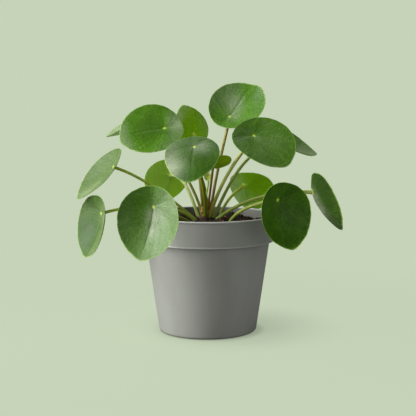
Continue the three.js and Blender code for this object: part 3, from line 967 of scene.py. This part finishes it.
    def build_stalk(self) -> None:
        """Builds the stalk: a tube along the frame's cubic curve, a little swollen at its foot and under
        the blade, with soft ribs round it and rounded ends.
        """
        shape = self.shape
        seat = np.array(shape.umbo) - shape.axes()[2] * (self.seat + shape.girth / 2 * shape.lean())
        knots = np.array([shape.root, *shape.bends, seat], float)
        share = np.linspace(0, 1, self.stalk_steps)
        angles = circle(self.stalk_around)
        (foot, foot_fade), (top, top_fade) = self.foot_swell, self.top_swell
        swelling = 1 + foot * np.exp(-share / foot_fade) + top * np.exp(-(1 - share) / top_fade)
        swelling = swelling - self.waist * np.sin(math.pi * share)
        rounding = np.sqrt(1 - np.clip(1 - share / self.end_rounding, 0, 0.92) ** 2)
        ribs = 1 + self.rib * np.cos(self.stalk_ribs * angles[None] + 1.5 * share[:, None] + self.number)
        radii = shape.girth / 2 * (swelling * rounding)[:, None] * ribs
        rings, poles = tube(knots, share, radii, np.array(self.stalk_side))
        skin = closed_stack(rings, *poles)
        round_it = np.concatenate([np.tile(compass(angles), (self.stalk_steps, 1)), np.zeros((2, 2))])
        run = np.column_stack([per_point(share, self.stalk_around, 0, 1), round_it])
        skin.numbers["run"] = run + np.array([0, self.stalk_apart * self.number, 0])
        finish = shape.stalk.value
        material = finish.material(f"stalk_skin_{shape.name}")
        skin.piece(f"petiole_{shape.name}", material, finish.slot, f"stalk_{shape.name}")


@dataclass
class NurseryPot:
    """The grey pot: a tapered body, a wider collar, a thin lip and drain holes in its floor."""

    height: float = 105.5
    foot_radius: float = 43.9
    body_top_radius: float = 55.8
    collar_bottom: float = 82.4
    collar_radius: float = 60.0
    lip_height: float = 1.7
    lip_proud: float = 0.7
    bead: float = 0.35
    guard: float = 0.35
    wall: float = 1.8
    floor: float = 2.4
    drain_holes: int = 6
    drain_radius: float = 3.5
    drain_circle: float = 27.0
    drain_reach: Span = (-2.0, 5.0)
    drain_sides: int = 32
    around: int = 256
    corner_steps: int = 6
    tallest_face: float = 6.0
    sharp_degrees: float = 40.0

    def body_radius(self, height: float) -> float:
        """Radius of the tapered body's outside at a height, on the straight line from foot to collar."""
        return self.foot_radius + (self.body_top_radius - self.foot_radius) * height / self.collar_bottom

    def corners(self) -> Array:
        """Lists the wall's corners, up the outside and down the inside.

        Returns:
            One row for each corner: its radius, height, rounding, and how much it is a rubbed edge with a
            painted highlight.
        """
        lip_bottom = self.height - self.lip_height
        lip_radius = self.collar_radius + self.lip_proud
        inside = self.collar_radius - self.wall
        ledge = self.body_radius(self.collar_bottom + self.wall) - self.wall
        return np.array([
            [self.foot_radius, 0, 2.4, 0],
            [self.body_top_radius, self.collar_bottom, 0.3, 0],
            # The collar's lower bead and the lip carry the painted edge highlight.
            [self.collar_radius + self.bead, self.collar_bottom, 0.5, 0.75],
            [self.collar_radius, self.collar_bottom + 1.5, 0.5, 0],
            [self.collar_radius, lip_bottom, 0.15, 0],
            [lip_radius, lip_bottom + 0.3, 0.25, 0.6],
            [lip_radius, self.height, 0.6, 1],
            [inside, self.height, 0.6, 1],
            [inside, self.collar_bottom + self.wall, 1.0, 0],
            [ledge, self.collar_bottom, 1.0, 0],
            [self.body_radius(self.floor) - self.wall, self.floor, 1.2, 0],
        ])

    def profile(self) -> tuple[Array, Array]:
        """Rounds the wall's corners.

        Each corner becomes the curve (1-t)^2 a + 2t(1-t) c + t^2 b, where c is the corner and a and b lie
        its rounding away on its two sides. A guard point just beyond each end, short of the span's middle,
        keeps the rubbed, highlighted edge narrow. Long straight spans get more points, so that no face of the
        wall is tall.

        Returns:
            Radius and height along the profile, and how much of a rubbed, highlighted edge each point is.
        """
        corners = self.corners()
        spot, rounding = corners[:, :2], corners[:, 2:3]
        sides = np.vstack([[0, 0], spot[:-1]]) - spot, np.vstack([spot[1:], [0, self.floor]]) - spot
        spans = [np.linalg.norm(side, axis=1, keepdims=True) for side in sides]
        ways = [side / span for side, span in zip(sides, spans)]
        a, b = (spot + way * rounding for way in ways)
        t = np.linspace(0, 1, self.corner_steps)[None, :, None]
        curve = (1 - t) ** 2 * a[:, None] + 2 * t * (1 - t) * spot[:, None] + t ** 2 * b[:, None]
        reach = [np.minimum(self.guard, 0.45 * span - rounding) for span in spans]
        guards = (a + ways[0] * reach[0])[:, None], (b + ways[1] * reach[1])[:, None]
        curve = np.concatenate([guards[0], curve, guards[1]], axis=1)
        edge = np.zeros(curve.shape[:2])
        edge[:, 1:-1] = corners[:, 3:4]
        curve = curve.reshape(-1, 2)

        gaps = np.linalg.norm(np.diff(curve, axis=0), axis=1)
        cuts = np.maximum(1, gaps // self.tallest_face).astype(int)
        run = np.concatenate([[0], np.cumsum(np.repeat(gaps / cuts, cuts))])
        distance = np.concatenate([[0], np.cumsum(gaps)])
        spread = [np.interp(run, distance, values) for values in (curve[:, 0], curve[:, 1], edge.ravel())]
        return np.column_stack(spread[:2]), spread[2]

    def build(self) -> None:
        """Turns the profile about the pot's axis, dresses the wall, and cuts the drain holes."""
        profile, edge = self.profile()
        rings = lathe(profile[:, 0], profile[:, 1], self.around)
        skin = closed_stack(rings, (0, 0, 0), (0, 0, self.floor))
        skin.numbers["edge"] = per_point(edge, self.around, 0, 0)
        # The inside of the wall, which the finish darkens with soil dust and painted shade.
        past_lip = np.cumsum(profile[:, 1] > self.height - 0.01) > 0
        inside = past_lip & (profile[:, 0] < self.collar_radius - self.wall + 0.01)
        skin.numbers["stain"] = per_point(inside.astype(float), self.around, 0, 1)
        pot = skin.piece("pot_shell", PotPlastic().material(), "pot_plastic", "pot")
        self.cut_drains(pot)
        pot.data.set_sharp_from_angle(angle=math.radians(self.sharp_degrees))

    def cut_drains(self, pot: Object) -> None:
        """Cuts round holes through the floor, evenly spaced on a circle, with one applied Boolean.

        Args:
            pot: the piece that is cut.
        """
        spots = np.pad(self.drain_circle * compass(circle(self.drain_holes)), ((0, 0), (0, 1)))
        plug = lathe(np.full(2, self.drain_radius), np.array(self.drain_reach), self.drain_sides)
        ends = [spots + np.array([0, 0, height]) for height in self.drain_reach]
        plugs = closed_stacks(spots[:, None, None] + plug, *ends).thing("drain_plugs")
        cut = pot.modifiers.new("drains", "BOOLEAN")
        cut.operation = "DIFFERENCE"
        cut.solver = "EXACT"
        cut.object = plugs
        bpy.context.view_layer.update()
        finished = bpy.data.meshes.new_from_object(pot.evaluated_get(bpy.context.evaluated_depsgraph_get()))
        pot.modifiers.clear()
        pot.data = finished
        bpy.data.objects.remove(plugs)


@dataclass
class PottingMix:
    """Dark potting mix that fills the pot: a crumbly bed, loose crumbs, bark chips and coir fibres.

    heaps are bells at x and y with a height and a spread, waves are sine waves with their turns along x and
    y and a height, and clods are noise with a cell, a height and a seed.
    """

    level: float = 98.2
    wall_radius: float = 57.95
    lower_wall_radius: float = 53.4
    ledge_height: float = 83.5
    ledge_drop: float = 1.3
    bottom: float = 2.7
    bottom_radius: float = 42.1
    heaps: tuple[tuple[float, float, float, float], ...] = (
        (19, 33, 4.6, 11), (-1, 2, 2.6, 15), (-30, 30, 1.6, 22), (42, 32, -2.6, 16))
    waves: tuple[Point, ...] = ((0.41, 0.37, 0.4), (0.35, -0.46, 0.4), (0.93, -0.71, 0.3))
    clods: tuple[tuple[float, float, int], ...] = ((5.2, 0.75, 3), (2.4, 0.60, 4), (1.15, 0.34, 5))
    around: int = 300
    rings: int = 110
    lump_stretch: Span = (0.6, 1.3)
    lump_uneven: Span = (0.72, 1.15)
    lump_pitch: float = 0.12
    lump_sink: float = 0.35
    lump_gap: float = 2.2
    fibres: int = 70
    fibre_radius: float = 0.16
    fibre_lengths: Span = (4, 11)
    fibre_arc: float = 1.6
    fibre_lift: float = 0.35
    fibre_arch: float = 0.5
    fibre_gap: float = 8.0

    def height(self, x: Array, y: Array) -> Array:
        """Height of the bed's top.

        It is the level, plus bells height * exp(-(distance / spread)^2) for the heaps, plus sine waves as
        on the frame's solid, plus crumbly noise at three scales, which fades away at the pot's wall.

        Args:
            x: places across the pot.
            y: places in depth.

        Returns:
            The height at each place.
        """
        top = np.full(np.shape(x), self.level)
        for heap_x, heap_y, heap_height, spread in self.heaps:
            top = top + heap_height * np.exp(-((x - heap_x) ** 2 + (y - heap_y) ** 2) / spread ** 2)
        for per_x, per_y, wave_height in self.waves:
            top = top + wave_height * np.sin(per_x * x + per_y * y)
        inside = np.clip((self.wall_radius - np.hypot(x, y)) / 4, 0.25, 1)
        for cell, clod_height, seed in self.clods:
            top = top + clod_height * inside * (1 - 2 * np.abs(lattice_noise(x, y, cell, seed)))
        return top

    def build_bed(self) -> None:
        """Builds the bed as rings: up the pot's wall, then inwards over the crumbly top to its middle."""
        inwards = self.wall_radius * (1 - np.arange(self.rings) / self.rings)
        radii = np.concatenate([[self.bottom_radius, self.lower_wall_radius, self.wall_radius], inwards])
        radius, angle = np.meshgrid(radii, circle(self.around), indexing="ij")
        x, y = radius * np.cos(angle), radius * np.sin(angle)
        z = self.height(x, y)
        z[0], z[1], z[2] = self.bottom, self.ledge_height - self.ledge_drop, self.ledge_height
        middle = float(self.height(np.zeros(1), np.zeros(1))[0])
        skin = closed_stack(np.stack([x, y, z], axis=-1), (0, 0, self.bottom), (0, 0, middle))
        skin.piece("soil_bed", SOIL_BED.material(), "potting_soil", "soil")

    def scatter(self, name: str, finish: MixFinish, count: int, size: Span, flatness: float,
                seed: int) -> None:
        """Scatters small irregular lumps over the bed, each a squashed ball of a few faces with uneven
        radii.

        Each is turned by a slight pitch about X and then by a spin about Z, and sinks a little into the
        bed.

        Args:
            name: the piece's name.
            finish: what the lumps are made of.
            count: how many there are.
            size: their smallest and largest radius.
            flatness: their height as a share of their width.
            seed: picks their places, turns and forms.
        """
        draw = np.random.default_rng(seed)
        rings, sides = 3, 6
        polar = math.pi * np.arange(1, rings + 1) / (rings + 1)
        ball = lathe(np.sin(polar), -np.cos(polar), sides).reshape(-1, 3)
        ball = np.concatenate([ball, [[0, 0, -1], [0, 0, 1]]])
        stretch = draw.uniform(*self.lump_stretch, (count, 1, 3)) * np.array([1, 1, flatness])
        radii = draw.uniform(*size, (count, 1, 1)) * draw.uniform(*self.lump_uneven, (count, len(ball), 1))
        x, y, z = np.moveaxis(ball[None] * stretch * radii, -1, 0)
        spin, pitch = draw.uniform(0, FULL_TURN, (2, count, 1))
        pitch = pitch * self.lump_pitch
        y, z = y * np.cos(pitch) - z * np.sin(pitch), y * np.sin(pitch) + z * np.cos(pitch)
        distance = (self.wall_radius - self.lump_gap) * np.sqrt(draw.uniform(0.004, 1, count))
        spot = distance[:, None] * compass(draw.uniform(0, FULL_TURN, count))
        height = self.height(*spot.T) - z.min(axis=1) * self.lump_sink
        lumps = np.stack([x * np.cos(spin) - y * np.sin(spin) + spot[:, :1],
                          x * np.sin(spin) + y * np.cos(spin) + spot[:, 1:], z + height[:, None]], axis=-1)
        skin = closed_stacks(lumps[:, :-2].reshape(count, rings, sides, 3), lumps[:, -2], lumps[:, -1])
        skin.piece(name, finish.material(), "potting_soil")

    def scatter_fibres(self, seed: int = 21) -> None:
        """Lays thin coir fibres on the bed: three-sided tubes along short arcs that follow its height.

        Args:
            seed: picks their places, lengths and bends.
        """
        draw = np.random.default_rng(seed)
        steps, one_each = 9, (self.fibres, 1)
        along = np.linspace(-0.5, 0.5, steps)[None]
        length = draw.uniform(*self.fibre_lengths, one_each)
        heading = draw.uniform(0, FULL_TURN, one_each)
        course = heading + draw.uniform(-self.fibre_arc, self.fibre_arc, one_each) * along
        distance = (self.wall_radius - self.fibre_gap) * np.sqrt(draw.uniform(0.01, 1, one_each))
        spot = draw.uniform(0, FULL_TURN, one_each)
        x = distance * np.cos(spot) + length * along * np.cos(course)
        y = distance * np.sin(spot) + length * along * np.sin(course)
        z = self.height(x, y) + self.fibre_lift + self.fibre_arch * np.cos(math.pi * along)
        path = np.stack([x, y, z], axis=-1)
        thin = self.fibre_radius * np.sqrt(1.02 - (2 * along) ** 2)[..., None, None]
        round_it = compass(circle(3))[:, :, None]
        side = np.stack([-np.sin(course), np.cos(course), np.zeros_like(course)], axis=-1)[:, :, None]
        ring = round_it[:, 0, :] * side + round_it[:, 1, :] * np.array([0, 0, 1.0])
        skin = closed_stacks(path[:, :, None] + thin * ring, path[:, 0], path[:, -1])
        skin.piece("coir_fibres", COIR_FIBRE.material(), "potting_soil")

    def build(self) -> None:
        """Builds the bed and everything loose on it."""
        self.build_bed()
        self.scatter("soil_crumbs", SOIL_CRUMB, 1500, (0.35, 1.15), 0.75, 8)
        self.scatter("bark_chips", BARK_CHIP, 110, (0.6, 1.7), 0.4, 15)
        self.scatter_fibres()


@dataclass
class Crown:
    """The short woody stem, and the papery scales that dry round the feet of its stalks.

    crack_share, knob_share and scar_share say how far cracks, knobs and leaf scars stand out, as shares of
    the stem's radius.
    """

    middle: Span = (-2, 1)
    profile: tuple[Span, ...] = (
        (5.2, 84), (6, 92), (5.8, 100), (5, 104), (3.6, 107), (2.2, 109.6), (0.9, 110.3))
    top: float = 110.4
    around: int = 96
    rings: int = 90
    crack_share: float = 0.05
    knob_share: float = 0.07
    scar_share: float = 0.04
    scales: int = 13
    golden_turn: float = 2.4
    turn_spread: float = 0.3
    scale_lengths: Span = (7, 13.5)
    scale_widths: Span = (1.5, 2.6)
    scale_curls: Span = (0.4, 2.6)
    scale_distances: Span = (4.6, 5.6)
    scale_feet: Span = (100.5, 107.5)
    scale_hollow: float = 0.16
    scale_half_thickness: float = 0.16
    scale_lean: float = 1.6

    def about(self, outwards: Array, aside: Array, height: Array, heading: Array) -> Array:
        """Places points round the stem.

        Args:
            outwards: how far from the stem's middle they are, along the heading.
            aside: how far to the left of the heading.
            height: how high.
            heading: its angle from the X axis.

        Returns:
            The points.
        """
        x = self.middle[0] + outwards * np.cos(heading) - aside * np.sin(heading)
        y = self.middle[1] + outwards * np.sin(heading) + aside * np.cos(heading)
        return np.stack([x, y, height], axis=-1)

    def build_stem(self) -> None:
        """Builds the stem: a turned profile, roughened by noise and by raised rings, the leaf scars."""
        radii, heights = np.array(self.profile).T
        levels = np.linspace(heights[0], heights[-1], self.rings)
        height, angle = np.meshgrid(levels, circle(self.around), indexing="ij")
        cracks = lattice_noise(6 * np.sin(angle), height * 0.35 + 6 * np.cos(angle), 1.1, 31)
        knobs = lattice_noise(4 * np.sin(angle), height + 4 * np.cos(angle), 2.3, 32)
        scars = np.maximum(0, np.sin(height * 2.1 + 1.2 * np.sin(angle)))
        bumps = 1 + self.crack_share * cracks + self.knob_share * knobs + self.scar_share * scars
        radius = np.interp(height, heights, radii) * bumps
        rings = self.about(radius, np.zeros_like(radius), height, angle)
        skin = closed_stack(rings, (*self.middle, heights[0]), (*self.middle, self.top))
        skin.piece("crown_stem", STEM_BARK.material(), "woody_stem", "stem")

    def build_scales(self, seed: int = 44) -> None:
        """Builds the papery scales.

        Each is a pointed flake: width sin(pi share^0.8) over its length, hollowed across, its top curling
        away from the stem, and 0.3 mm thick. Its rings go round it edge to edge.

        Args:
            seed: picks their turns, sizes, curls and places.
        """
        draw = np.random.default_rng(seed)
        one_each = (self.scales, 1, 1)
        share = np.linspace(0.02, 0.98, 14)[None, :, None]
        angles = -circle(12)
        turns = draw.uniform(-self.turn_spread, self.turn_spread, self.scales)
        turns = np.arange(self.scales) * self.golden_turn + turns
        length = draw.uniform(*self.scale_lengths, one_each)
        width = draw.uniform(*self.scale_widths, one_each)
        across = width * np.sin(math.pi * share ** 0.8) * np.cos(angles)
        thick = self.scale_half_thickness * np.sin(angles) * np.sin(math.pi * share) ** 0.3
        hollow = self.scale_hollow * across ** 2
        curl = draw.uniform(*self.scale_curls, one_each) * share ** 2.4
        distance = draw.uniform(*self.scale_distances, one_each)
        outwards = distance - hollow + curl + thick - self.scale_lean * share
        up = draw.uniform(*self.scale_feet, one_each) + length * share + 0 * across
        rings = self.about(outwards, across, up, turns[:, None, None])
        skin = closed_stacks(rings, rings[:, 0].mean(axis=1), rings[:, -1].mean(axis=1))
        skin.piece("crown_scales", DRY_SCALE.material(), "woody_stem")


class Lit(Enum):
    """What a lamp lights: some objects by name, and whether its light is kept to them or kept from them."""

    PART = ("ground",), "EXCLUDE"
    PLANT = ("ground", "pot_shell"), "EXCLUDE"
    POT = ("pot_shell",), "INCLUDE"
    GROUND = ("ground",), "INCLUDE"

    def collection(self) -> bpy.types.Collection:
        """Makes the list of these objects that Blender's light linking reads.

        Returns:
            The list, as a collection.
        """
        names, state = self.value
        made = bpy.data.collections.new(f"lit_{self.name.lower()}")
        for name in names:
            made.objects.link(bpy.data.objects[name])
        for entry in made.collection_objects:
            entry.light_linking.link_state = state
        return made


@dataclass(frozen=True)
class Lamp:
    """One soft rectangular lamp: its middle, the point it faces and its size in metres, and its power in
    watts.

    only_pot_shades keeps everything but the pot from casting its shadow, and mirrored says whether glossy
    surfaces reflect it.
    """

    name: str
    place: Point
    aim: Point
    size: Span
    power: float
    lights: Lit
    only_pot_shades: bool = False
    mirrored: bool = True

    def build(self) -> Object:
        """Puts the lamp in the scene, turned to its aim.

        Returns:
            The lamp.
        """
        data = bpy.data.lights.new(self.name, "AREA")
        data.shape = "RECTANGLE"
        data.size, data.size_y = self.size
        data.energy = self.power
        lamp = put(self.name, data)
        lamp.location = self.place
        lamp.rotation_euler = (Vector(self.aim) - Vector(self.place)).to_track_quat("-Z", "Y").to_euler()
        lamp.visible_glossy = self.mirrored
        return lamp


KEY_AIM, KEY_SIZE = (0, 0, 0.12), (0.8, 1.5)
LAMPS = (
    Lamp("left_softbox", (-1.25, -0.32, 0.60), KEY_AIM, KEY_SIZE, 22.0, Lit.PART),
    Lamp("left_softbox_on_plant", (-1.26, -0.32, 0.60), KEY_AIM, KEY_SIZE, 30.0, Lit.PLANT),
    Lamp("left_softbox_on_pot", (-1.27, -0.20, 0.60), KEY_AIM, KEY_SIZE, 38.0, Lit.POT, True),
    Lamp("right_fill_on_pot", (1.2, -0.25, 0.4), (0, 0, 0.06), (0.6, 1.0), 3.0, Lit.POT, True),
    Lamp("overhead_softbox", (-0.15, 0.72, 1.15), (0, 0, 0.15), (1.3, 0.9), 7.0, Lit.PART),
    Lamp("front_fill", (0.4, -1.25, 0.32), (0, 0, 0.1), (2.2, 1.2), 10.5, Lit.PART, mirrored=False),
    Lamp("back_fill", (0.1, 1.0, 0.85), (0, 0, 0.15), (1.2, 0.8), 10.0, Lit.PART, mirrored=False),
    Lamp("ground_softbox", (-0.48, -0.24, 2.1), (0, 0, 0), (1.35, 1.35), 42.0, Lit.GROUND, True),
)


@dataclass
class Studio:
    """The photograph's camera, its soft light from the left and above, and its plain pale sage ground.

    Each band is the distance in metres from the pot's axis where a change on the ground starts and ends:
    of the shadow at the pot's foot, of the glow, and of the bounced light.
    """

    camera: Point = (0.00022, -0.894, 0.214)
    camera_dip: float = 6.6
    focal_share: float = 1000 / 416
    sensor: float = 36.0
    sage: Rgb = (198, 211, 184)
    ground_radii: tuple[float, ...] = (9000, 5000, 2500, 1200, 600, 250)
    ground_level: float = -0.2
    ground_depth: float = 20.0
    ground_glow: float = 0.70
    foot_shadow: float = 0.33
    foot_band: Span = (0.045, 0.054)
    glow_band: Span = (0.16, 0.42)
    bounce: float = 0.2
    bounce_band: Span = (0.042, 0.09)
    surround: float = 0.22
    mirrored_share: float = 0.35

    def set_camera(self) -> None:
        """Puts the camera in front of the plant, a little above it and looking slightly down."""
        data = bpy.data.cameras.new("photo_camera")
        data.sensor_fit = "HORIZONTAL"
        data.sensor_width = self.sensor
        data.lens = self.sensor * self.focal_share
        camera = put("photo_camera", data)
        camera.location = self.camera
        camera.rotation_euler = (math.radians(90 - self.camera_dip), 0, 0)
        bpy.context.scene.camera = camera

    def set_surroundings(self) -> None:
        """An even sage sky for the eye, a dim neutral one for light, and a dimmer one for reflections."""
        recipe = Recipe(bpy.data.worlds.new("soft_room"))
        path = recipe.node("LightPath").outputs
        strength = Shade(recipe, path["Is Glossy Ray"]) * (self.mirrored_share - 1) + 1
        dim = recipe.surface("Background", {"Color": (*[self.surround] * 3, 1), "Strength": strength})
        sky = recipe.surface("Background", {"Color": linear(self.sage)})
        bpy.context.scene.world = recipe.close(recipe.blend(path["Is Camera Ray"], dim, sky), "OutputWorld")
        bpy.context.scene.view_settings.view_transform = "Standard"

    def add_ground(self) -> None:
        """Lays the ground: a wide disc that takes the pot's shadow and, further out, keeps one even sage.
        """
        rings = lathe(np.array(self.ground_radii), np.full(len(self.ground_radii), self.ground_level), 96)
        ground = closed_stack(rings, (0, 0, -self.ground_depth), (0, 0, self.ground_level)).thing("ground")
        ground.data.materials.append(self.ground_material())

    def ground_material(self) -> Material:
        """Sage board, lit near the pot, that fades into an even glow of the same colour further out.

        Only the eye sees it so: as a source of bounced light it is a dim neutral grey, so it doesn't tint
        the pot, and dimmer still close to the pot's foot.

        Returns:
            The material.
        """
        recipe = Recipe(bpy.data.materials.new("sage_ground"))
        x, y, _ = recipe.parts(recipe.place())
        away = recipe.math("SQRT", x * x + y * y)
        board = recipe.surface("BsdfDiffuse", {"Color": linear(self.sage)})
        glow = recipe.surface("Emission", {"Color": linear(self.sage), "Strength": 1.0})
        open_ground = recipe.step(away, *self.foot_band) * self.foot_shadow + 1 - self.foot_shadow
        near_glow = open_ground * self.ground_glow
        share = recipe.step(away, *self.glow_band) * (1 - near_glow) + near_glow
        bounce = recipe.step(away, *self.bounce_band) * self.bounce
        grey = recipe.surface("Emission", {"Color": (1, 1, 1, 1), "Strength": bounce})
        eye = recipe.node("LightPath").outputs["Is Camera Ray"]
        return recipe.close(recipe.blend(eye, grey, recipe.blend(share, board, glow)))

    def build(self) -> None:
        """Sets up the camera, the surroundings, the ground and the lamps, once the pot is there.

        The photograph shows hardly any shadow of the leaves on the pot, none on the ground, and only a
        short pale one of the pot. So the softbox on the left is three lamps side by side: one for all but
        the ground, one for the plant, and one for the pot that the leaves don't shade. The ground has a
        high soft lamp of its own.
        """
        self.set_camera()
        self.set_surroundings()
        self.add_ground()
        lists = {part: part.collection() for part in Lit}
        for lamp in LAMPS:
            linking = lamp.build().light_linking
            linking.receiver_collection = lists[lamp.lights]
            if lamp.only_pot_shades:
                linking.blocker_collection = lists[Lit.POT]


def main() -> None:
    """Builds the pot, the studio, the soil, the crown and every leaf, in that order."""
    logging.basicConfig(level=logging.INFO, format="%(name)s: %(message)s")
    NurseryPot().build()
    Studio().build()
    PottingMix().build()
    crown = Crown()
    crown.build_stem()
    crown.build_scales()
    for number, shape in enumerate(LEAVES):
        leaf = Leaf(shape, number)
        leaf.build_blade()
        leaf.build_stalk()


if __name__ == "__main__":
    main()
